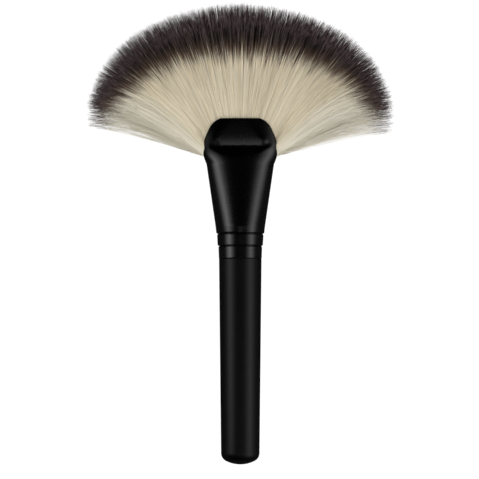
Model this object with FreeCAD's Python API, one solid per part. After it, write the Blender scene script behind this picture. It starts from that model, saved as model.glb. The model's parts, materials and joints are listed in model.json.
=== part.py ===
# Fan makeup brush, lying on a table as it comes to rest: on the ferrule's collar and
# the underside of the fan. Millimetres, +X across the fan, +Y towards the hair's tips,
# +Z up. The origin is under the middle of the brush, on the table.
# It is modelled straight along +Y, with the handle's butt at 0, and then laid down.
import FreeCAD, Part
import math
import os

# Handle
handle_length = 78.0
butt_radius = 7.3
butt_crown_radius = 12.0
butt_corner_radius = 3.4
tenon_length = 19.0
tenon_chamfer = 1.0
tenon_clearance = 0.05
shoulder_clearance = 0.03

# Ferrule, with heights above its own foot and depths below its top
ferrule_wall = 0.5
ferrule_length = 53.2
ferrule_proud = 0.06
foot_radius = 8.15
foot_edge = 0.2
foot_band_rise = 0.15
middle_band_step = 0.3
middle_band_rise = 0.22
ring_step = 0.25
groove_height = 4.7
groove_pitch = 4.6
groove_width = 0.9
groove_floor_width = 0.3
groove_depth = 0.4
collar_height = 12.0
collar_flare = 0.135
flare_depth = 17.2
flare_half_width = 12.85
notch_depth = 15.8
notch_half_gap = 1.3
mouth_half_thickness = 5.4

# Arched lips at the front and back, as seen from the front
lip_half_width = 14.33
lip_widest_depth = 11.9
lip_corner_half_width = 12.25
lip_corner_depth = 4.8
lip_top_half_width = 7.2
lip_spare = 0.75
flank_bulge = 0.23
side_bulge = 0.4
corner_bulge = 0.87

# Flat that is pressed into both faces below the lips, with a pinch at each end
crease_depth = 10.8
press_half_thickness = 4.5
press_draft = 1.6
pinch_offset = 10.4
pinch_drop = 9.4
pinch_radius = 2.2
pinch_depth = 0.55

# Glue that holds the tenon and the hair's roots
glue_clearance = 0.02
glue_floor = 4.0
glue_cup = 7.0
glue_film = 0.35

# Hair, which fans out from the middle of the lips
hair_clearance = 0.1
hair_squeeze = 0.45
mouth_dip = 2.6
fan_half_angle = 80.0
fan_reach = 54.4
shoulder_gain = 5.6
shoulder_angle = 60.0
shoulder_power = 1.4
fan_half_thickness = 6.2
fan_full_radius = 42.0
fan_roundness = 2.6
side_fullness = 8.0
tip_half_thickness = 3.4
tip_shoulder = 0.85
dye_length = 20.0
dye_taper = 0.65
dye_jag = 1.6

# Locks of hair: ridges that grow from the lips, given as shares of the way to the dye line
lock_count = 56
lock_relief = 0.4
lock_relief_spread = 0.5
lock_jag = 0.8
lock_jag_spread = 1.8
lock_wobble = 0.5
ridge_growth = ((0.0, 0.0), (0.35, 0.25), (0.7, 0.7), (1.0, 1.0))

# Worked out from the values above
foot = handle_length + shoulder_clearance
ferrule_top = foot + ferrule_length
low_groove = foot + groove_height
top_groove = low_groove + groove_pitch
collar_top = foot + collar_height
flare = ferrule_top - flare_depth
notch = ferrule_top - notch_depth
lip_widest = ferrule_top - lip_widest_depth
lip_corner = ferrule_top - lip_corner_depth
crease = ferrule_top - crease_depth
pinch = ferrule_top - pinch_drop
tenon_end = handle_length + tenon_length
hair_root = tenon_end + glue_floor
foot_band_radius = foot_radius + foot_band_rise
middle_band_radius = foot_band_radius + middle_band_step
middle_band_end_radius = middle_band_radius + middle_band_rise
ring_radius = middle_band_end_radius + ring_step
ring = top_groove + groove_width / 2
collar_top_radius = ring_radius + collar_flare * (collar_top - ring)
neck_radius = foot_radius - ferrule_proud
tenon_radius = foot_radius - ferrule_wall - tenon_clearance
lip_inside = press_half_thickness - ferrule_wall
lip_reach = lip_half_width + 3 * ferrule_wall
golden_step = (math.sqrt(5.0) - 1.0) / 2.0

# Building aids: how far tools reach past what they cut, how finely, and how exactly
through = 2.0
tool_half_width = 1.5 * lip_half_width
funnel_spans = 16
sewing_gap = 1e-4
same_point = 1e-6
settling_rounds = 3


def at(x, along, z=0.0):
    return FreeCAD.Vector(x, along, z)


def line(start, end):
    return Part.LineSegment(start, end).toShape()


def arc(start, middle, end):
    return Part.Arc(start, middle, end).toShape()


def turned(edges):
    """Spin a closed half profile about the brush's axis."""
    return Part.Face(Part.Wire(edges)).revolve(at(0, 0), at(0, 1), 360)


def between(start, end, share):
    return start + (end - start) * share


def make_handle():
    """The barrel with its crowned butt, and the tenon inside the ferrule."""
    reach = butt_crown_radius - butt_corner_radius
    inset = butt_radius - butt_corner_radius
    lean = math.asin(inset / reach)
    corner_height = butt_crown_radius - reach * math.cos(lean)
    middle_angle = (math.pi / 2 + lean) / 2

    def on_crown(angle):
        return at(butt_crown_radius * math.sin(angle), butt_crown_radius * (1 - math.cos(angle)))

    corner_middle = at(
        inset + butt_corner_radius * math.sin(middle_angle),
        corner_height - butt_corner_radius * math.cos(middle_angle),
    )
    bead_radius = groove_floor(foot_band_radius, middle_band_radius) - ferrule_wall - tenon_clearance
    bead_gap = groove_width / 2 + ferrule_wall / 2
    corners = [
        at(butt_radius, corner_height),
        at(neck_radius, handle_length),
        at(tenon_radius, handle_length),
        at(tenon_radius, low_groove - bead_gap),
        at(bead_radius, low_groove - groove_floor_width / 2),
        at(bead_radius, low_groove + groove_floor_width / 2),
        at(tenon_radius, low_groove + bead_gap),
        at(tenon_radius, tenon_end - tenon_chamfer),
        at(tenon_radius - tenon_chamfer, tenon_end),
        at(0, tenon_end),
        at(0, 0),
    ]
    edges = [line(start, end) for start, end in zip(corners, corners[1:])]
    edges.append(arc(corners[-1], on_crown(lean / 2), on_crown(lean)))
    edges.append(arc(on_crown(lean), corner_middle, corners[0]))
    return turned(edges)


def groove_floor(radius_below, radius_above):
    """Outer radius at the bottom of a rolled groove between two bands."""
    return (radius_below + radius_above) / 2 - groove_depth


def make_collar(inset, start):
    """The round end of the ferrule, as a solid whose surface lies inset inside the real one."""
    half_groove = groove_width / 2
    half_floor = groove_floor_width / 2
    low_floor_radius = groove_floor(foot_band_radius, middle_band_radius)
    top_floor_radius = groove_floor(middle_band_end_radius, ring_radius)
    points = [
        at(foot_radius - inset, foot + foot_edge),
        at(foot_band_radius - inset, low_groove - half_groove),
        at(low_floor_radius - inset, low_groove - half_floor),
        at(low_floor_radius - inset, low_groove + half_floor),
        at(middle_band_radius - inset, low_groove + half_groove),
        at(middle_band_end_radius - inset, top_groove - half_groove),
        at(top_floor_radius - inset, top_groove - half_floor),
        at(top_floor_radius - inset, top_groove + half_floor),
        at(ring_radius - inset, ring),
        at(collar_top_radius - inset, collar_top),
        at(0, collar_top),
        at(0, start),
    ]
    if start < foot:
        foot_edges = [
            line(at(0, start), at(foot_radius - inset, start)),
            line(at(foot_radius - inset, start), points[0]),
        ]
    else:
        rim = foot_radius - foot_edge
        rolled = at(rim + foot_edge * math.sin(math.pi / 4), foot + foot_edge * (1 - math.cos(math.pi / 4)))
        foot_edges = [line(at(0, start), at(rim, start)), arc(at(rim, start), rolled, points[0])]
    return turned(foot_edges + [line(below, above) for below, above in zip(points, points[1:])])


def half_width(along):
    """Half the ferrule's width: a straight taper that flares where the lips begin."""
    taper = (flare_half_width - collar_top_radius) / (flare - collar_top)
    share = min(1.0, max(0.0, (along - flare) / (lip_widest - flare)))
    gain = lip_half_width + lip_spare - flare_half_width - taper * (lip_widest - flare)
    return collar_top_radius + taper * (along - collar_top) + gain * math.sin(share * math.pi / 2)


def half_thickness(along):
    """Half the ferrule's thickness, which goes from round to the flattened mouth."""
    share = min(1.0, (along - collar_top) / (ferrule_top - collar_top))
    return between(collar_top_radius, mouth_half_thickness, share)


def oval(along, inset):
    ellipse = Part.Ellipse(
        at(half_width(along) - inset, along),
        at(0, along, half_thickness(along) - inset),
        at(0, along),
    )
    front = Part.ArcOfEllipse(ellipse, 0, math.pi).toShape()
    back = Part.ArcOfEllipse(ellipse, math.pi, 2 * math.pi).toShape()
    return Part.Wire([front, back])


def make_funnel(inset):
    """The part of the ferrule that goes from round to flat, and a little past its top."""
    end = ferrule_top + through
    stations = [between(collar_top, end, index / funnel_spans) for index in range(funnel_spans + 1)]
    return Part.makeLoft([oval(along, inset) for along in stations], True, False)


def slab(start, end):
    """Everything within the ferrule's reach between two heights."""
    wide = tool_half_width
    return Part.makeBox(2 * wide, end - start, 2 * wide, at(-wide, start, -wide))


def press_tools(inset):
    """What the press takes off both faces: the flat above the crease, and its pinched ends."""
    face = press_half_thickness - inset
    high = ring_radius
    wide = tool_half_width
    end = ferrule_top + 2 * through
    corners = [
        at(-wide, crease, face),
        at(-wide, end, face),
        at(-wide, end, high),
        at(-wide, crease - press_draft * (high - face), high),
    ]
    flat = Part.Face(Part.makePolygon(corners + corners[:1])).extrude(at(2 * wide, 0))
    tools = [flat]
    surface = min(press_half_thickness, half_thickness(pinch) * lens(pinch_offset / half_width(pinch), 2.0))
    for side in (-1, 1):
        middle = at(side * pinch_offset, pinch, surface - pinch_depth + pinch_radius)
        tools.append(Part.makeSphere(pinch_radius + inset, middle))
    back = [tool.mirror(at(0, 0), at(0, 0, 1)) for tool in tools]
    return tools + back


def make_pressed_funnel(inset):
    return make_funnel(inset).cut(press_tools(inset))


def bowed(start, end, bulge):
    """An arc that bulges to the right of the way from its start to its end."""
    chord = end - start
    outward = at(chord.y, -chord.x) * (bulge / chord.Length)
    return arc(start, between(start, end, 0.5) + outward, end)


def make_lip_outline():
    """A prism with the ferrule's outline from the front: open below, arched at the top."""
    deep = 2 * ring_radius
    wide = tool_half_width
    flare_start = at(flare_half_width, flare)
    widest = at(lip_half_width, lip_widest)
    corner = at(lip_corner_half_width, lip_corner)
    top = at(lip_top_half_width, ferrule_top)

    right = [
        line(at(wide, foot - through), at(wide, flare_start.y)),
        line(at(wide, flare_start.y), flare_start),
        bowed(flare_start, widest, flank_bulge),
        bowed(widest, corner, side_bulge),
        bowed(corner, top, corner_bulge),
    ]
    left = [edge.mirror(at(0, 0), at(1, 0)) for edge in right]
    bottom = line(at(-wide, foot - through), at(wide, foot - through))
    lip = line(top, at(-top.x, top.y))
    outline = Part.Wire(Part.__sortEdges__(right + [lip, bottom] + left))
    outline.translate(at(0, 0, -deep))
    return Part.Face(outline).extrude(at(0, 0, 2 * deep))


def make_side_notch():
    """A round-bottomed slot through both sides of the mouth, where the fan comes out."""
    middle = notch + notch_half_gap
    wide = tool_half_width
    slot = Part.makeBox(
        2 * wide, ferrule_top + through - middle, 2 * notch_half_gap, at(-wide, middle, -notch_half_gap)
    )
    bottom = Part.makeCylinder(notch_half_gap, 2 * wide, at(-wide, middle), at(1, 0))
    inside = flare_half_width - 2 * ferrule_wall
    core = Part.makeBox(
        2 * inside, ferrule_length, 2 * ring_radius, at(-inside, notch - ferrule_wall, -ring_radius)
    )
    return slot.fuse(bottom).cut(core)


def make_ferrule():
    collar = make_collar(0, foot).cut(make_collar(ferrule_wall, foot - through))
    mouth = make_pressed_funnel(0).cut(make_pressed_funnel(ferrule_wall))
    mouth = mouth.common(make_lip_outline()).cut(make_side_notch())
    return collar.fuse(mouth).removeSplitter()


def make_glue():
    """Set glue: a skirt round the tenon, a floor above it and a thin cup round the hair."""
    cup_top = hair_root + glue_cup
    body = make_funnel(ferrule_wall + glue_clearance).common(slab(collar_top, cup_top))
    tenon = Part.makeCylinder(
        tenon_radius + glue_clearance, tenon_length + glue_clearance, at(0, handle_length), at(0, 1)
    )
    pocket = make_funnel(ferrule_wall + glue_film).common(slab(hair_root, cup_top + through))
    return body.cut([tenon, pocket])


def uneven(index):
    """A value from -0.5 to 0.5 that differs from lock to lock, by golden-ratio steps."""
    return (index * golden_step) % 1.0 - 0.5


def fan_outline(angle, reach):
    """A point on the fan's rim, or inside it, at an angle in degrees from the brush's axis."""
    swell = 0.5 - 0.5 * math.cos(math.pi * angle / shoulder_angle)
    radius = fan_reach + shoulder_gain * swell ** shoulder_power + reach
    turn = math.radians(angle)
    return at(radius * math.sin(turn), lip_widest + radius * math.cos(turn))


def lens(share, power):
    """How thick the bundle is at a share of its half width, as part of its full thickness."""
    return max(0.0, 1.0 - abs(share) ** power) ** (1.0 / power)


def inside_ferrule(share, along, gap):
    """A point on the surface of the hair where it fills the ferrule."""
    width = half_width(along) - ferrule_wall - gap
    thickness = half_thickness(along) - ferrule_wall - gap
    return at(share * width, along, thickness * lens(share, 2.0))


def fan_radius(spot):
    """How far a spot, seen from the front, is from the point that the hair fans out from."""
    return (at(spot.x, spot.y) - at(0, lip_widest)).Length


def room_between_lips(spot):
    """Half the gap that the ferrule leaves for the hair at a spot seen from the front."""
    width = half_width(spot.y) - ferrule_wall
    thickness = half_thickness(spot.y) - ferrule_wall
    gap = min(thickness * lens(spot.x / width, 2.0), lip_inside)
    return max(gap, notch_half_gap) - hair_squeeze


def swelling(spot):
    """Half the fan's thickness at a spot: squeezed at the lips, and full further out."""
    share = (fan_radius(spot) - lip_reach) / (fan_full_radius - lip_reach)
    share = min(1.0, max(0.0, share))
    return between(lip_inside - hair_clearance, fan_half_thickness, math.sin(share * math.pi / 2))


def lock_line(index):
    """One line of hair along the fan's front, as its cream stretch and its dyed stretch.

    Even lines run in the furrows between locks, and odd ones along their crests."""
    at_side = index in (0, 2 * lock_count)
    wobble = 0.0 if at_side else lock_wobble * uneven(index)
    share = (index + wobble) / lock_count - 1.0
    crest = 1.0 if index % 2 else -1.0
    lift = crest * lock_relief * (1.0 + lock_relief_spread * uneven(3 * index))
    reach = crest * lock_jag * (1.0 + lock_jag_spread * uneven(5 * index))
    angle = share * fan_half_angle
    wide = lens(share, fan_roundness)
    tip = fan_outline(angle, reach)
    dyed = dye_length * math.cos(math.radians(angle)) ** dye_taper
    dye = fan_outline(angle, dye_jag * uneven(7 * index) - dyed)

    poles = []
    for part in (0.0, 0.5, 1.0):
        along = between(hair_root, notch - notch_half_gap, part)
        poles.append(inside_ferrule(share, along, glue_film + hair_clearance))
    mouth_along = notch + notch_half_gap + mouth_dip * (1.0 - share ** 2)
    mouth = inside_ferrule(share, mouth_along, hair_clearance)
    start = at(mouth.x, mouth.y)
    mouth.z = min(mouth.z, (lip_inside - hair_squeeze) * lens(share, 2.0))
    poles.append(mouth)
    lip = (lip_reach - fan_radius(start)) / (fan_radius(dye) - fan_radius(start))
    for part, ridge in ridge_growth:
        spot = between(start, dye, between(lip, 1.0, part))
        spot.z = (swelling(spot) + ridge * lift) * wide
        poles.append(spot)
    lip_pole = poles[4]
    lip_pole.z = min(lip_pole.z, room_between_lips(lip_pole) * lens(share, side_fullness))

    dye = at(dye.x, dye.y)
    middle = between(dye, tip, 0.5)
    middle.z = (fan_half_thickness + lift) * wide
    shoulder = between(dye, tip, tip_shoulder)
    shoulder.z = (between(tip_half_thickness, fan_half_thickness, 0.5) + lift) * wide
    nose = at(tip.x, tip.y, tip_half_thickness * wide)
    return poles, [poles[-1], middle, shoulder, nose, tip]


def spline(poles):
    curve = Part.BSplineCurve()
    curve.buildFromPoles(poles, False, 2)
    return curve.toShape()


def flipped(point):
    return at(point.x, point.y, -point.z)


def skin(left, right):
    """The front and back of the hair between two neighbouring lines."""
    front = Part.makeRuledSurface(spline(left), spline(right))
    back = Part.makeRuledSurface(spline([flipped(p) for p in left]), spline([flipped(p) for p in right]))
    return [front, back]


def cut_face(left, right):
    """The flat face across the thickness of the hair between two neighbouring points."""
    corners = [left, right, flipped(right), flipped(left)]
    kept = [spot for index, spot in enumerate(corners) if (spot - corners[index - 1]).Length > same_point]
    return Part.Face(Part.makePolygon(kept + [kept[0]]))


def solid_from(faces):
    shell = Part.Shell(faces)
    shell.sewShape(sewing_gap)
    solid = Part.Solid(shell)
    if solid.Volume < 0:
        solid.reverse()
    return solid


def make_hair():
    """The fan of hair: its cream length, and the dyed ends of the same fibres."""
    lines = [lock_line(index) for index in range(2 * lock_count + 1)]
    cream = []
    dyed = []
    for (cream_left, dyed_left), (cream_right, dyed_right) in zip(lines, lines[1:]):
        seam = cut_face(cream_left[-1], cream_right[-1])
        cream += skin(cream_left, cream_right) + [seam]
        dyed += skin(dyed_left, dyed_right) + [seam]
    front = [poles[0] for poles, ends in lines]
    back = [flipped(point) for point in front[-2:0:-1]]
    cream.append(Part.Face(Part.makePolygon(front + back + [front[0]])))
    return solid_from(cream), solid_from(dyed)


def lowest(shapes):
    return min(shape.optimalBoundingBox(False, False).ZMin for shape in shapes)


def lay_down(parts):
    """Tip the brush about its collar until the fan's underside touches the table as well."""
    run = lip_widest + fan_full_radius - collar_top
    for settling in range(settling_rounds):
        gap = lowest([parts["cream_hair"], parts["dyed_tips"]]) - lowest([parts["ferrule"]])
        for shape in parts.values():
            shape.rotate(at(0, 0), at(1, 0), -math.degrees(math.atan(gap / run)))
    box = Part.makeCompound(list(parts.values())).optimalBoundingBox(False, False)
    for shape in parts.values():
        shape.translate(at(0, -box.Center.y, -box.ZMin))


def main():
    cream, dyed = make_hair()
    parts = {
        "handle": make_handle(),
        "ferrule": make_ferrule(),
        "glue_plug": make_glue(),
        "cream_hair": cream,
        "dyed_tips": dyed,
    }
    lay_down(parts)
    os.makedirs("parts", exist_ok=True)
    for name, shape in parts.items():
        shape.exportStep("parts/" + name + ".step")
        print(name, round(shape.Volume, 1), "cubic millimetres")


main()
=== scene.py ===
import json
import math

import bmesh
import bpy
import numpy as np
from mathutils import Matrix, Vector


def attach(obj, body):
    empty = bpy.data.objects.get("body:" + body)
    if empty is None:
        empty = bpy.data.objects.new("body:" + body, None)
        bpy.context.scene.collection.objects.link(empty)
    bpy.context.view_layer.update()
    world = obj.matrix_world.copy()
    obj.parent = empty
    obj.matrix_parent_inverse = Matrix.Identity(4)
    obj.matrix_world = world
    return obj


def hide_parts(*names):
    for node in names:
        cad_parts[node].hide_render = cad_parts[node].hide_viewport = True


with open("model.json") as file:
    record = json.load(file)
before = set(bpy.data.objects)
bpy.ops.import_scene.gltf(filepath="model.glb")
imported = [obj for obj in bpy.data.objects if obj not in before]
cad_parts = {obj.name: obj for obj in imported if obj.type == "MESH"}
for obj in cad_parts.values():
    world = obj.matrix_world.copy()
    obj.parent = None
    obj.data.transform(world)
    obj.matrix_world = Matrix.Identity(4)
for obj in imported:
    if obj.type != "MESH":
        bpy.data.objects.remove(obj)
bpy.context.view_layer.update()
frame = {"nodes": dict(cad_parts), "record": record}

# The straight brush is given in millimetres along its axis from the butt. The grip on its
# handle, which the record places, says how it lies in the row's frame
grip = frame["record"]["mounts"][0]
grip_along = 40.0
dip = math.asin(grip["axis"][2])
butt_place = (
    grip["pos_m"][1] * 1000 - grip_along * math.cos(dip),
    grip["pos_m"][2] * 1000 + grip_along * math.sin(dip),
)
lie = (
    Matrix.Translation((0, butt_place[0] / 1000, butt_place[1] / 1000))
    @ Matrix.Rotation(-dip, 4, "X")
    @ Matrix.Scale(0.001, 4)
)

# Handle, in millimetres
butt_radius = 7.3
butt_crown_radius = 12.0
butt_corner_radius = 3.4
neck_radius = 8.09
handle_length = 78.0
neck_edge_length = 0.12
neck_edge_depth = 0.1
tenon_radius = 7.6
tenon_chamfer = 1.0
tenon_end = 97.0

# The ferrule's turned collar. With each groove go three radii: of the band below it at its
# start and at its end, and of the band beyond it at its start
wall = 0.5
foot = 78.03
foot_edge = 0.2
foot_radius = 8.15
grooves = ((foot + 4.7, (8.15, 8.3, 8.6)), (foot + 9.3, (8.6, 8.82, 9.07)))
groove_half_width = 0.4
groove_depth = 0.4
groove_power = 1.5
funnel_start_radius = 9.12
funnel_start_slope = 0.11
collar_top = 90.03
collar_top_radius = 9.374

# Its flattened mouth: the side notches, and the arched lips as seen from the front. The funnel
# would run on a little wider than the lips, whose outline cuts it
ferrule_top = 131.23
mouth_half_thickness = 5.4
flare = 114.03
flare_half_width = 12.85
notch = 115.43
notch_half_gap = 1.3
lip_widest = 119.33
lip_half_width = 14.33
funnel_overrun = 0.75
lip_corner = 126.43
lip_corner_half_width = 12.25
lip_top_half_width = 7.2
flank_bulge = 0.23
side_bulge = 0.4
corner_bulge = 0.87
rim_roll = 0.55
rim_roll_start = 4.0

# The flat that is pressed into the mouth: its crease, how it leans across, how it rises past
# the crease and over what run, and a pinch at each end of the crease
crease = 120.43
crease_softness = 0.16
pressed_half_thickness = 4.5
press_draft = 1.6
press_lean = 0.02
press_slope = 0.19
press_run = 4.5
pinch_offset = 10.4
pinch_width = 1.7
pinch_along = 121.83
pinch_length = 1.2
pinch_depth = 0.35

# Gloss, as a share of the coating's own: the flat's, and between which depths of pressing it
# sets in, and how dull each side of the lips gets, and between which heights
pressed_gloss = 2.0
pressed_depths = (0.05, 0.5)
left_dulling = 0.85
left_dulled = (115.0, 119.5)
right_dulling = 0.6
right_dulled = (118.5, 123.0)
right_glossy_again = (124.0, 129.0)

# The fan of hair, which spreads from the middle of the lips, with angles from the brush's axis
fan_centre = 119.33
fan_middle = np.array([0.0, fan_centre])
fan_reach = 55.8
shoulder_gain = 5.6
shoulder_angle = 60.0
shoulder_power = 1.4
fan_roundness = 2.6
lip_reach = 15.83
full_radius = 42.0
full_half_thickness = 6.1
lip_half_gap = 3.8
dense_left_angle = 74.5
dense_right_angle = 75.0
thin_side_angle = 1.9
thinnest = 0.03
last_left_angle = 81.5
last_right_angle = 83.5
wisp_spread = 10.5

# Strands: their roots in the ferrule, where they leave it, the room that they have there, how
# they gather in locks, how they differ in reach, and their radii
root_along = 112.0
root_half_thickness = 3.0
root_clearance = 1.2
root_run = -6.0
mouth_along = 116.73
mouth_dip = 2.6
mouth_clearance = 0.75
held_length = 3.0
least_room = 1.3
room_clearance = 0.45
strand_angle_spread = 0.7
lock_pitch = 1.1
lock_sway = 2.0
lock_sway_rate = 9.0
lock_spread = 0.01
most_gather = 0.45
reach_spread = 0.6
short_power = 1.6
tip_dome = 7.5
dome_fullness = 5.0
strand_radius = 0.115
wisp_radius = 0.055
tip_radius = 0.022
taper_start = 0.6
taper_power = 1.5

# The side strands' bow towards the brush's axis, whose crest lies farther out on the last ones
bow_angles = (38.0, 76.0)
side_bow = 3.8
side_bow_spread = 0.6
wisp_bows = (0.8, 3.2)
wave_spread = 0.22
crest_power = 0.9
crest_gain = 0.45
crest_angles = (50.0, 72.0)

# Dye: its length at the fan's middle, how it shortens to the sides, and a longer stretch on
# the left shoulder. The side shares are where painted light makes the hair paler
dye_length = 20.0
dye_power = 0.6
dye_last_angle = 78.0
dye_spare = 0.9
dye_spread = 2.0
root_past_dye = -50.0
side_shares = (0.7, 1.0)
left_dye_gain = 1.4
left_dye_start = (30.0, 48.0)
left_dye_end = (74.0, 62.0)
wisp_dye_loss = 6.0

# Lights, in metres. Each strip has its side, its glow, and where it starts and ends
strip_angle = math.radians(57)
strip_distance = 0.6
strip_widths = (0.14, 0.3, 0.46)
strips = (("left", -1, 1.7, -0.1, 0.15), ("right", 1, 1.04, -0.45, 0.18))
shoulder_strip_along = -0.15
floor_glow = 1.36
floor_glow_share = 0.72
room_glow = 0.2
backdrop_glow = 1.1

# Camera: a pixel of the photograph and the view's middle in millimetres of the straight brush,
# the distance in metres, and the sensor in millimetres
photo_pixels = 479
pixel_size = 0.38
view_middle = (-0.3, 85.3, 0.0)
view_distance = 1.2
sensor_width = 36.0


def linear(red, green, blue):
    """A colour given in the 0 to 255 steps of a screen, as Blender's colours hold it."""
    steps = [value / 255 for value in (red, green, blue)]
    return tuple(s / 12.92 if s <= 0.04045 else ((s + 0.055) / 1.055) ** 2.4 for s in steps)


def place(spots):
    """Spots of the straight brush, (x, along, up) in millimetres, as metres in the row's frame."""
    x, along, up = spots[..., 0], spots[..., 1], spots[..., 2]
    y = butt_place[0] + along * math.cos(dip) + up * math.sin(dip)
    z = butt_place[1] - along * math.sin(dip) + up * math.cos(dip)
    return np.stack([x, y, z], axis=-1) / 1000


def add_object(name, data):
    """A new object in the scene, at the origin."""
    made = bpy.data.objects.new(name, data)
    bpy.context.scene.collection.objects.link(made)
    return made


class Nodes:
    """Short ways to lay out one material's nodes."""

    def __init__(self, name):
        self.material = bpy.data.materials.new(name)
        self.material.use_nodes = True
        self.tree = self.material.node_tree
        self.shader = self.tree.nodes["Principled BSDF"]
        self.output = self.tree.nodes["Material Output"]

    def add(self, kind, values=None, links=None):
        """A node with its settings, and with a link or a value for each input that is named."""
        node = self.tree.nodes.new(kind)
        for key, value in (values or {}).items():
            setattr(node, key, value)
        for key, source in (links or {}).items():
            if isinstance(source, bpy.types.NodeSocket):
                self.tree.links.new(source, node.inputs[key])
            else:
                node.inputs[key].default_value = source
        return node

    def set(self, **values):
        """Inputs of the material's shader, as links or values."""
        for key, value in values.items():
            socket = self.shader.inputs[key.replace("_", " ")]
            if isinstance(value, bpy.types.NodeSocket):
                self.tree.links.new(value, socket)
            else:
                socket.default_value = value

    def blend(self, share, first, second):
        """A colour between two, by a socket that runs from 0 to 1."""
        node = self.add("ShaderNodeMix", {"data_type": "RGBA"})
        self.tree.links.new(share, node.inputs["Factor"])
        for index, colour in ((6, first), (7, second)):
            if isinstance(colour, bpy.types.NodeSocket):
                self.tree.links.new(colour, node.inputs[index])
            else:
                node.inputs[index].default_value = (*colour, 1.0)
        return node.outputs[2]

    def ranged(self, value, low, high, start=0.0, end=1.0, smooth=False):
        """A value's place between low and high, as a number from start to end."""
        node = self.add(
            "ShaderNodeMapRange",
            {"interpolation_type": "SMOOTHSTEP" if smooth else "LINEAR"},
            {"Value": value, "From Min": low, "From Max": high, "To Min": start, "To Max": end},
        )
        return node.outputs["Result"]

    def attribute(self, name):
        """One of the piece's own values, which its mesh holds at each point."""
        return self.add("ShaderNodeAttribute", {"attribute_name": name}).outputs["Fac"]


def fibre_material(name):
    """Fibres, streaked cream, made paler at the fan's sides by painted light, with dark dyed ends and
    paler tips.
    """
    cream, tan = linear(250, 240, 216), linear(240, 225, 193)
    painted_light_pale, brown = linear(255, 250, 234), linear(120, 97, 78)
    dark, glint, tip = linear(30, 23, 22), linear(148, 131, 129), linear(150, 128, 130)
    tan_shades, glint_shades = (0.55, 1.0), (0.66, 1.0)
    browning, darkening, tip_length = (-1.5, 3.0), (2.0, 7.0), 1.8
    nodes = Nodes(name)
    shade = nodes.attribute("shade")
    past_dye = nodes.attribute("past_dye")
    to_tip = nodes.attribute("to_tip")
    streaked = nodes.blend(nodes.ranged(shade, *tan_shades), cream, tan)
    # Painted light: the strands turn paler towards the fan's sides, by their side value
    undyed = nodes.blend(nodes.attribute("side"), streaked, painted_light_pale)
    browned = nodes.blend(nodes.ranged(past_dye, *browning, smooth=True), undyed, brown)
    # Painted glints: a random share of the dyed strands takes the lighter glint colour
    darkened = nodes.blend(nodes.ranged(shade, *glint_shades), dark, glint)
    dyed = nodes.blend(nodes.ranged(past_dye, *darkening, smooth=True), browned, darkened)
    tipped = nodes.blend(nodes.ranged(to_tip, tip_length, 0.0), dyed, tip)
    nodes.set(Base_Color=tipped, Roughness=0.42, Specular_IOR_Level=0.2)
    return nodes.material


def half_width(along):
    """Half the ferrule's width, before the lips' outline cuts it."""
    taper = (flare_half_width - collar_top_radius) / (flare - collar_top)
    share = np.clip((along - flare) / (lip_widest - flare), 0.0, 1.0)
    gain = lip_half_width + funnel_overrun - flare_half_width - taper * (lip_widest - flare)
    return collar_top_radius + taper * (along - collar_top) + gain * np.sin(share * math.pi / 2)


def half_thickness(along):
    """Half the ferrule's thickness from front to back, before its flat is pressed in."""
    share = np.clip((along - collar_top) / (ferrule_top - collar_top), 0.0, 1.0)
    return collar_top_radius + (mouth_half_thickness - collar_top_radius) * share


def lens(share, power):
    """A rounded section's height over its width, from -1 to 1: a power over 2 is fuller than an oval."""
    return np.maximum(0.0, 1.0 - np.abs(share) ** power) ** (1.0 / power)


def fan_radius(angle):
    """How far the fan reaches at an angle from the brush's axis, in degrees."""
    swell = 0.5 - 0.5 * np.cos(math.pi * angle / shoulder_angle)
    return fan_reach + shoulder_gain * swell**shoulder_power


def smooth(low, high, value):
    """A soft step from 0 at low to 1 at high, where high may be the smaller."""
    share = np.clip((value - low) / (high - low), 0.0, 1.0)
    return share * share * (3 - 2 * share)


# Where along its free length each strand has its points
stops = np.array([0.0, 0.2, 0.42, 0.62, 0.78, 0.9, 1.0])


def strand_angles(rng, share, wisps):
    """The strands' angles, even almost up to each side's dense angle and thinning out past it."""
    dense = np.where(share < 0, dense_left_angle, dense_right_angle)
    to_side = dense * (1 - np.abs(share)) / thin_side_angle
    thinned = dense - thin_side_angle * (1 + np.log(np.maximum(to_side, thinnest)))
    angle = np.sign(share) * np.where(to_side < 1, thinned, dense * np.abs(share))
    angle += rng.normal(0, strand_angle_spread, len(share))
    if wisps:
        last = np.where(share < 0, last_left_angle, last_right_angle)
        angle = np.sign(share) * (last - wisp_spread * rng.uniform(0, 1, len(share)))
    return angle


def tip_angles(rng, angle, depth):
    """The angles of the strands' tips, which are drawn a little way together into locks."""
    lock = np.round((angle + lock_sway * np.sin(depth * lock_sway_rate)) / lock_pitch) * lock_pitch
    lock += rng.normal(0, lock_spread, len(angle))
    return angle + (lock - angle) * rng.uniform(0.0, most_gather, len(angle))


def tip_reaches(rng, share, depth, tip_angle, short):
    """How far the strands reach: some fall short, and the fan's end is domed from front to back."""
    fall = rng.uniform(0, 1, len(share)) ** short_power
    dome = tip_dome * np.abs(depth) ** 3 * lens(share, dome_fullness)
    return fan_radius(tip_angle) + rng.normal(0, reach_spread, len(share)) - short * fall - dome


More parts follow.
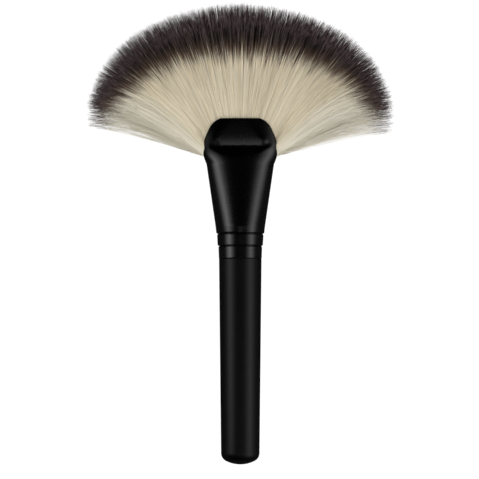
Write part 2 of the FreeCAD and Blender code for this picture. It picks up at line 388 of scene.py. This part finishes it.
def strand_lines(rng, share, angle, tip_angle, reach, wisps):
    """The strands as seen from the front, from the mouth to their tips, and their lengths."""
    count = len(share)
    along = mouth_along + mouth_dip * (1 - share**2)
    mouth = np.stack([share * (half_width(along) - mouth_clearance), along], axis=-1)
    turn = np.radians(tip_angle)
    tip = np.stack([reach * np.sin(turn), fan_centre + reach * np.cos(turn)], axis=-1)
    way = tip - mouth
    length = np.linalg.norm(way, axis=1)
    inward = np.stack([-way[:, 1], way[:, 0]], axis=-1) / length[:, None]
    inward *= np.sign(tip_angle)[:, None]
    lean = smooth(*bow_angles, np.abs(angle)) * rng.normal(side_bow, side_bow_spread, count)
    if wisps:
        lean = rng.uniform(*wisp_bows, count)
    wave = rng.normal(0, wave_spread, count)
    crest = crest_power + crest_gain * smooth(*crest_angles, np.abs(angle))
    bow = (lean + wave)[:, None] * np.sin(math.pi * stops[None, :] ** crest[:, None])
    straight = mouth[:, None, :] + way[:, None, :] * stops[None, :, None]
    return straight + inward[:, None, :] * bow[:, :, None], length


def strand_heights(flat, share, depth):
    """The strands' heights from the fan's middle plane, which grow from the lips that hold them."""
    away = np.linalg.norm(flat - fan_middle, axis=-1)
    out = np.clip((away - lip_reach) / (full_radius - lip_reach), 0.0, 1.0)
    thick = lip_half_gap + (full_half_thickness - lip_half_gap) * np.sin(out * math.pi / 2)
    thick = thick * lens(share, fan_roundness)[:, None]
    along = flat[..., 1]
    width = half_width(along) - wall
    lips = (half_thickness(along) - wall) * lens(np.clip(flat[..., 0] / width, -1, 1), 2.0)
    pressed = pressed_half_thickness - wall - press_lean * np.abs(flat[..., 0])
    room = np.maximum(np.minimum(lips, pressed), least_room) - room_clearance
    held = smooth(lip_reach + held_length, lip_reach, away)
    thick = np.minimum(thick, room * held + thick * (1 - held))
    return depth[:, None] * thick


def strand_roots(share, depth):
    """Where the strands start, inside the ferrule."""
    across = share * (half_width(root_along) - root_clearance)
    up = depth * root_half_thickness * lens(share, 2.0)
    return np.stack([across, np.full(len(share), root_along), up], axis=-1)


def past_dye_line(rng, spots, angle, wisps):
    """How far each spot is past the uneven line where the dye starts."""
    dyed = dye_length * np.cos(np.radians(np.minimum(np.abs(angle), dye_last_angle))) ** dye_power
    dyed += dye_spare + left_dye_gain * smooth(*left_dye_start, -angle) * smooth(*left_dye_end, -angle)
    if wisps:
        dyed -= wisp_dye_loss * rng.uniform(0, 1, len(angle)) ** 3
    line = fan_radius(angle) - dyed + rng.normal(0, dye_spread, len(angle))
    past_dye = np.linalg.norm(spots[..., :2] - fan_middle, axis=-1) - line[:, None]
    past_dye[:, 0] = root_past_dye
    return past_dye


def grow(seed, count, layers, side=(0.0, 1.0), short=3.0, wisps=False):
    """Spots along each strand of one layer of hair, with the values that its colour needs.

    A strand's share is where it leaves the mouth, from -1 on the left to 1 on the right, and
    its depth is from -1 at the back to 1 at the front. Layers and side are the ranges of these,
    and short is how far the shortest strands end below the others.
    """
    rng = np.random.default_rng(seed)
    share = rng.uniform(-1, 1, count)
    share = np.sign(share) * (side[0] + (side[1] - side[0]) * np.abs(share))
    depth = rng.uniform(*layers, count)
    angle = strand_angles(rng, share, wisps)
    tip_angle = tip_angles(rng, angle, depth)
    reach = tip_reaches(rng, share, depth, tip_angle, short)
    flat, length = strand_lines(rng, share, angle, tip_angle, reach, wisps)
    up = strand_heights(flat, share, depth)
    spots = np.concatenate([flat, up[..., None]], axis=-1)
    spots = np.concatenate([strand_roots(share, depth)[:, None, :], spots], axis=1)
    run = np.concatenate([np.full((count, 1), root_run), length[:, None] * stops[None, :]], axis=1)
    return {
        "spots": place(spots),
        "to_tip": length[:, None] - run,
        "past_dye": past_dye_line(rng, spots, angle, wisps),
        "shade": np.repeat(rng.uniform(0, 1, count)[:, None], len(stops) + 1, axis=1),
        # side: how far painted light makes each strand paler
        "side": np.repeat(smooth(*side_shares, np.abs(share))[:, None], len(stops) + 1, axis=1),
    }


def strand_section():
    """The three-sided section that each strand has, at a radius of 1."""
    ring = bpy.data.curves.new("strand_section", "CURVE")
    section = ring.splines.new("POLY")
    section.points.add(2)
    for index, point in enumerate(section.points):
        angle = index * math.tau / 3
        point.co = (math.cos(angle), math.sin(angle), 0, 1)
    section.use_cyclic_u = True
    return add_object("strand_section", ring)


def strand_piece(name, hair, root_radius, material):
    """Tapered strands along the given spots, as one mesh with its colour values."""
    least_height = 0.00015
    spots = hair["spots"]
    spots[..., 2] = np.maximum(spots[..., 2], least_height)
    count, points = spots.shape[:2]
    section = strand_section()
    curve = bpy.data.curves.new(name, "CURVE")
    curve.dimensions = "3D"
    curve.bevel_mode = "OBJECT"
    curve.bevel_object = section
    curve.use_fill_caps = True
    share = np.concatenate([[0.0], stops])
    tapered = np.clip((share - taper_start) / (1 - taper_start), 0, 1) ** taper_power
    radii = root_radius + (tip_radius - root_radius) * tapered
    row = np.ones((count, points, 4))
    row[..., :3] = spots
    for index in range(count):
        spline = curve.splines.new("POLY")
        spline.points.add(points - 1)
        spline.points.foreach_set("co", row[index].ravel())
        spline.points.foreach_set("radius", radii / 1000)
    holder = add_object(name + "_lines", curve)
    graph = bpy.context.evaluated_depsgraph_get()
    mesh = bpy.data.meshes.new_from_object(holder.evaluated_get(graph), depsgraph=graph)
    for spare in (holder, section):
        bpy.data.objects.remove(spare)
    mesh.name = name

    # The mesh has the strands' end caps first, from the last strand's, and then their rings
    for key in ("to_tip", "past_dye", "shade", "side"):
        along = hair[key]
        caps = along[::-1][:, [-1, 0]]
        values = np.concatenate([caps.ravel(), along.ravel()])
        stored = mesh.attributes.new(key, "FLOAT", "POINT")
        stored.data.foreach_set("value", np.repeat(values, 3).astype(np.float32))
    joined = bmesh.new()
    joined.from_mesh(mesh)
    bmesh.ops.remove_doubles(joined, verts=joined.verts, dist=1e-8)
    joined.to_mesh(mesh)
    joined.free()
    mesh.shade_smooth()
    mesh.materials.clear()
    mesh.materials.append(material)
    piece = add_object(name, mesh)
    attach(piece, "root")
    return piece


fibre = fibre_material("fibre")
strand_groups = {
    "front_hair": grow(11, 4300, (0.72, 1.0)),
    "front_hair_under": grow(12, 4300, (0.3, 0.8), short=2.0),
    "back_hair": grow(13, 4300, (-1.0, -0.7)),
    "middle_hair": grow(14, 4300, (-0.75, 0.35), short=1.5),
    "side_wisps": grow(15, 420, (-0.9, 0.9), side=(0.9, 1.0), wisps=True),
}
for group_name, group in strand_groups.items():
    radius = wisp_radius if group_name == "side_wisps" else strand_radius
    strand_piece(group_name, group, radius, fibre)
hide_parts("cream_hair", "dyed_tips")


def black_material(name, roughness, level, grain_size, unevenness, uneven_gloss=False):
    """Black coating with a fine grain in its gloss."""
    black = (0.0002, 0.0002, 0.0002, 1.0)
    grain_low, grain_high = 0.3, 0.7
    nodes = Nodes(name)
    coordinates = nodes.add("ShaderNodeTexCoord").outputs["Object"]
    links = {"Vector": coordinates, "Scale": 1 / grain_size, "Detail": 3.0}
    grain = nodes.add("ShaderNodeTexNoise", links=links)
    low, high = roughness - unevenness, roughness + unevenness
    rough = nodes.ranged(grain.outputs["Fac"], grain_low, grain_high, low, high)
    nodes.set(Base_Color=black, Roughness=rough, Specular_IOR_Level=level)
    if uneven_gloss:
        gloss = nodes.attribute("gloss")
        nodes.set(Specular_IOR_Level=nodes.ranged(gloss, 0.0, 2.0, 0.0, 2 * level))
    return nodes.material


def finish_piece(name, shape, material, slot, *nodes):
    """Lay a modelled shape down with the brush, as a piece that stands for its CAD nodes."""
    bmesh.ops.remove_doubles(shape, verts=shape.verts, dist=1e-4)
    bmesh.ops.recalc_face_normals(shape, faces=shape.faces)
    bmesh.ops.transform(shape, matrix=lie, verts=shape.verts)
    mesh = bpy.data.meshes.new(name)
    shape.to_mesh(mesh)
    shape.free()
    mesh.shade_smooth()
    mesh.materials.append(material)
    piece = add_object(name, mesh)
    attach(piece, "root")
    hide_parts(*nodes)
    return piece


def arc_points(middle, radius, start, end, steps):
    """Points along an arc, from one angle to another."""
    angles = [start + (end - start) * step / steps for step in range(steps + 1)]
    return [(middle[0] + radius * math.cos(a), middle[1] + radius * math.sin(a)) for a in angles]


def turned(profile, steps):
    """A half profile, as (radius, along), spun round the brush's axis."""
    shape = bmesh.new()
    points = [shape.verts.new((radius, along, 0)) for radius, along in profile]
    edges = [shape.edges.new(pair) for pair in zip(points, points[1:])]
    bmesh.ops.spin(
        shape,
        geom=points + edges,
        cent=(0, 0, 0),
        axis=(0, 1, 0),
        angle=math.tau,
        steps=steps,
        use_merge=True,
    )
    return shape


def handle_profile():
    """The barrel with its crowned butt and rounded corner, its neck, and the tenon in the ferrule."""
    lean = math.asin((butt_radius - butt_corner_radius) / (butt_crown_radius - butt_corner_radius))
    corner_along = butt_crown_radius - (butt_crown_radius - butt_corner_radius) * math.cos(lean)
    down = -math.pi / 2
    crown = arc_points((0, butt_crown_radius), butt_crown_radius, down, down + lean, 10)
    corner_middle = (butt_radius - butt_corner_radius, corner_along)
    corner = arc_points(corner_middle, butt_corner_radius, down + lean, 0, 14)
    barrel = []
    for twelfth in (1, 2, 3, 4, 5, 6, 7, 8, 9, 10, 11, 11.7, 11.95):
        radius = butt_radius + (neck_radius - butt_radius) * twelfth / 12
        barrel.append((radius, corner_along + (handle_length - corner_along) * twelfth / 12))
    neck = [
        (neck_radius, handle_length - neck_edge_length),
        (neck_radius - neck_edge_depth, handle_length),
    ]
    tenon = [
        (tenon_radius, handle_length),
        (tenon_radius, tenon_end - tenon_chamfer),
        (tenon_radius - tenon_chamfer, tenon_end),
        (0, tenon_end),
    ]
    return [(0, 0)] + crown[1:] + corner[1:] + barrel + neck + tenon


def collar_profile():
    """The ferrule's turned end: its rolled foot, and its bands between two rolled grooves."""
    profile = []
    for eighth in range(5):
        turn = eighth * math.pi / 8
        radius = foot_radius - foot_edge + foot_edge * math.sin(turn)
        profile.append((radius, foot + foot_edge - foot_edge * math.cos(turn)))
    below = foot + foot_edge
    for groove, (start, end, beyond) in grooves:
        for share in (0.02, 0.06, 0.35, 0.7, 0.94, 0.98):
            along = below + (groove - groove_half_width - below) * share
            profile.append((start + (end - start) * share, along))
        floor_radius = (end + beyond) / 2 - groove_depth
        for step in range(11):
            away = step / 5 - 1
            edge = end if away < 0 else beyond
            sunk = math.cos(away * math.pi / 2) ** groove_power
            profile.append((edge + (floor_radius - edge) * sunk, groove + groove_half_width * away))
        below = groove + groove_half_width
    rises = (0.08, 0.3, 0.8, 1.5, 2.2, 2.3)
    return profile + [(funnel_start_radius + funnel_start_slope * rise, below + rise) for rise in rises]


def lip_line():
    """The arched lips seen from the front, as heights and the half widths there."""
    steps = 20
    lines = [
        ((flare_half_width, flare), (lip_half_width, lip_widest), flank_bulge),
        ((lip_half_width, lip_widest), (lip_corner_half_width, lip_corner), side_bulge),
        ((lip_corner_half_width, lip_corner), (lip_top_half_width, ferrule_top), corner_bulge),
    ]
    heights, widths = [], []
    for (x0, y0), (x1, y1), bulge in lines:
        length = math.hypot(x1 - x0, y1 - y0)
        for step in range(steps):
            share = step / steps
            out = 4 * bulge * share * (1 - share)
            heights.append(y0 + (y1 - y0) * share - out * (x1 - x0) / length)
            widths.append(x0 + (x1 - x0) * share + out * (y1 - y0) / length)
    return heights + [ferrule_top], widths + [lip_top_half_width]


lip_heights, lip_widths = lip_line()


def lip_outline(along):
    """Half the width that the arched lips leave of the ferrule at a height."""
    return float(np.interp(along, lip_heights, lip_widths))


def lip_height(turn):
    """How high the ferrule reaches at one turn about its axis: its arched lips, and the side notches."""
    halvings = 30
    across, up = abs(math.cos(turn)), abs(math.sin(turn))
    low, high = notch, ferrule_top
    if half_width(ferrule_top) * across <= lip_top_half_width:
        arch = ferrule_top
    else:
        for trial in range(halvings):
            middle = (low + high) / 2
            inside = half_width(middle) * across <= lip_outline(middle)
            low, high = (middle, high) if inside else (low, middle)
        arch = low
    away = min(half_thickness(notch) * up, notch_half_gap)
    return max(arch, notch + notch_half_gap - math.sqrt(notch_half_gap**2 - away**2))


def funnel_spot(turn, along):
    """A spot on the flattened part of the ferrule, with the flat that is pressed into it."""
    x = float(half_width(along)) * math.cos(turn)
    if along > flare:
        limit = lip_outline(along)
        x = max(-limit, min(limit, x))
    z = float(half_thickness(along)) * abs(math.sin(turn))
    rise = max(0.0, along - crease)
    camber = press_slope * press_run * math.sqrt(math.pi) / 2 * math.erf(rise / press_run)
    face = pressed_half_thickness + press_lean * x + camber + max(0.0, crease - along) / press_draft
    low, gap = min(z, face), abs(z - face)
    z = low - crease_softness * math.log(1 + math.exp(-gap / crease_softness))
    across, up = (abs(x) - pinch_offset) / pinch_width, (along - pinch_along) / pinch_length
    z -= pinch_depth * math.exp(-(across**2) - up**2)
    if along > flare:
        to_rim = max(0.0, min(ferrule_top - along, lip_outline(along) - abs(x)))
        roll = rim_roll * float(smooth(notch, notch + rim_roll_start, along)) + 1e-6
        inside = max(0.0, roll - to_rim)
        z -= roll - math.sqrt(roll**2 - inside**2)
    return Vector((x, along, math.copysign(max(z, 0.0), math.sin(turn))))


def ferrule_gloss(spot):
    """The press leaves its flat a little glossier, and the lips' bent sides duller, the left more so."""
    x, along, up = spot
    oval = half_thickness(along) * math.sqrt(max(0.0, 1 - (x / half_width(along)) ** 2))
    pressed = float(smooth(*pressed_depths, oval - abs(up))) if along > crease else 0.0
    if x < 0:
        dulled = left_dulling * smooth(*left_dulled, along)
    else:
        dulled = right_dulling * smooth(*right_dulled, along) * (1 - smooth(*right_glossy_again, along))
    return pressed_gloss * pressed + (1 - pressed) * (1 - float(dulled))


def make_ferrule_shell(material):
    """A turned tube, of one row of vertices to each unit, whose rows are set to the ferrule's shape."""
    profile = collar_profile()
    rows, columns = 84, 224
    closer_to_rim = 1.5
    rim_edge = 0.25
    start = profile[-1][1]
    shape = turned([(1, row) for row in range(len(profile) + rows)], columns)
    tops = {}
    for spot in shape.verts:
        turn = round(math.atan2(spot.co.z, spot.co.x), 5)
        row = round(spot.co.y)
        if turn not in tops:
            tops[turn] = lip_height(turn)
        if row < len(profile):
            radius, along = profile[row]
            spot.co = (radius * math.cos(turn), along, radius * math.sin(turn))
        else:
            share = 1 - (1 - (row - len(profile) + 1) / rows) ** closer_to_rim
            spot.co = funnel_spot(turn, start + (tops[turn] - start) * share)
    gloss = shape.verts.layers.float.new("gloss")
    for spot in shape.verts:
        spot[gloss] = ferrule_gloss(spot.co) if spot.co.y > collar_top else 1.0
    shell = finish_piece("ferrule_shell", shape, material, "ferrule_metal", "ferrule")
    tube = shell.modifiers.new("wall", "SOLIDIFY")
    tube.thickness = wall / 1000
    tube.offset = -1
    rim = shell.modifiers.new("rolled_edge", "BEVEL")
    rim.width = rim_edge / 1000
    rim.segments = 2
    rim.harden_normals = True
    rim.limit_method = "ANGLE"
    rim.angle_limit = math.radians(50)
    return shell


def finish_glue():
    """Give the CAD's glue plug, which lies hidden in the ferrule, its set glue."""
    glue = Nodes("set_glue")
    glue.set(Base_Color=(0.5, 0.38, 0.18, 1.0), Roughness=0.25)
    plug = frame["nodes"]["glue_plug"]
    plug.data.materials.clear()
    plug.data.materials.append(glue.material)


lacquer = black_material(
    "handle_lacquer", roughness=0.43, level=0.29, grain_size=0.0012, unevenness=0.006
)
coating = black_material(
    "ferrule_black", roughness=0.27, level=0.5, grain_size=0.0006, unevenness=0.006, uneven_gloss=True
)
finish_piece("handle_barrel", turned(handle_profile(), 128), lacquer, "handle_lacquer", "handle")
make_ferrule_shell(coating)
finish_glue()


def paper_material():
    """White paper to the camera, grey to the brush, and dark in the black parts' reflections."""
    paper = Nodes("floor_paper")
    paper.set(Base_Color=(0.6, 0.6, 0.6, 1.0), Roughness=0.9, Specular_IOR_Level=0.0)
    path = paper.add("ShaderNodeLightPath").outputs
    dark = paper.add("ShaderNodeBsdfDiffuse", links={"Color": (0.05, 0.05, 0.05, 1)})
    links = {0: path["Is Glossy Ray"], 1: paper.shader.outputs[0], 2: dark.outputs[0]}
    dull = paper.add("ShaderNodeMixShader", links=links)
    links = {0: path["Is Camera Ray"], 1: floor_glow_share}
    seen = paper.add("ShaderNodeMath", {"operation": "MULTIPLY"}, links)
    glow = paper.add("ShaderNodeEmission", links={"Color": (1, 1, 1, 1), "Strength": floor_glow})
    links = {0: seen.outputs[0], 1: dull.outputs[0], 2: glow.outputs[0]}
    white = paper.add("ShaderNodeMixShader", links=links)
    paper.tree.links.new(white.outputs[0], paper.output.inputs["Surface"])
    return paper.material


def make_floor():
    """A wide floor of paper, which shows the brush's soft shadow."""
    mesh = bpy.data.meshes.new("floor")
    sheet = bmesh.new()
    bmesh.ops.create_grid(sheet, x_segments=1, y_segments=1, size=1.5)
    sheet.to_mesh(mesh)
    sheet.free()
    mesh.materials.append(paper_material())
    add_object("floor", mesh)


def make_world():
    """A dim even light from all round, and a plain white that only the camera sees."""
    world = bpy.data.worlds.new("studio")
    bpy.context.scene.world = world
    world.use_nodes = True
    sky = world.node_tree
    fill = sky.nodes["Background"]
    backdrop = sky.nodes.new("ShaderNodeBackground")
    for background, strength in ((fill, room_glow), (backdrop, backdrop_glow)):
        background.inputs["Color"].default_value = (1, 1, 1, 1)
        background.inputs["Strength"].default_value = strength
    ray = sky.nodes.new("ShaderNodeLightPath")
    either = sky.nodes.new("ShaderNodeMixShader")
    sky.links.new(ray.outputs["Is Camera Ray"], either.inputs[0])
    sky.links.new(fill.outputs[0], either.inputs[1])
    sky.links.new(backdrop.outputs[0], either.inputs[2])
    sky.links.new(either.outputs[0], sky.nodes["World Output"].inputs["Surface"])
    world.cycles_visibility.glossy = False


def lamp(name, spot, aim, width, length, power, glossy):
    """A rectangle of light, which the black parts mirror only where it is glossy."""
    light = bpy.data.lights.new(name, "AREA")
    light.shape = "RECTANGLE"
    light.size = width
    light.size_y = length
    light.energy = power
    holder = add_object(name, light)
    holder.location = spot
    holder.rotation_euler = (Vector(aim) - Vector(spot)).to_track_quat("-Z", "Y").to_euler()
    holder.visible_glossy = glossy


def strip(name, side, along, length, width, power):
    """A strip of light beside the brush, which makes a long streak on its black parts."""
    across = side * strip_distance * math.sin(strip_angle)
    spot = (across, along, strip_distance * math.cos(strip_angle))
    lamp(name, spot, (0, along, 0), length, width, power, True)


def make_lights():
    """A strip on each side, soft boxes over the brush and beyond its ends, and a low panel.

    Each side has its strip in three widths, one on another, so that its streak has soft edges. A
    shorter one lights the shoulder of the right streak, and the low panel the ferrule's flat.
    """
    for name, side, glow, start, end in strips:
        length = end - start
        for layer, width in enumerate(strip_widths):
            strip(f"strip_{name}_{layer}", side, (start + end) / 2, length, width, glow * length)
    strip("strip_right_shoulder", 1, shoulder_strip_along, 0.16, 0.3, 0.5)
    middle = (0, 0, 0)
    lamp("overhead", (0.2, 0.0, 0.9), middle, 1.2, 1.2, 1.1, False)
    lamp("beyond_tips", (-0.3, 0.6, 0.6), middle, 0.9, 0.5, 1.5, False)
    lamp("beyond_butt", (0.3, -0.56, 0.62), middle, 0.9, 0.5, 1.4, False)
    lamp("low_panel", (0.03, -0.26, 0.84), middle, 0.3, 0.2, 0.18, True)


def make_camera():
    """A camera straight above, with the photograph's 479 pixels over 182 millimetres."""
    middle = place(np.array(view_middle))
    data = bpy.data.cameras.new("camera")
    data.sensor_width = sensor_width
    data.lens = sensor_width * view_distance / (pixel_size * photo_pixels / 1000)
    data.clip_end = 10
    camera = add_object("camera", data)
    camera.location = (middle[0], middle[1], middle[2] + view_distance)
    bpy.context.scene.camera = camera
    bpy.context.scene.view_settings.view_transform = "Standard"


make_floor()
make_world()
make_lights()
make_camera()
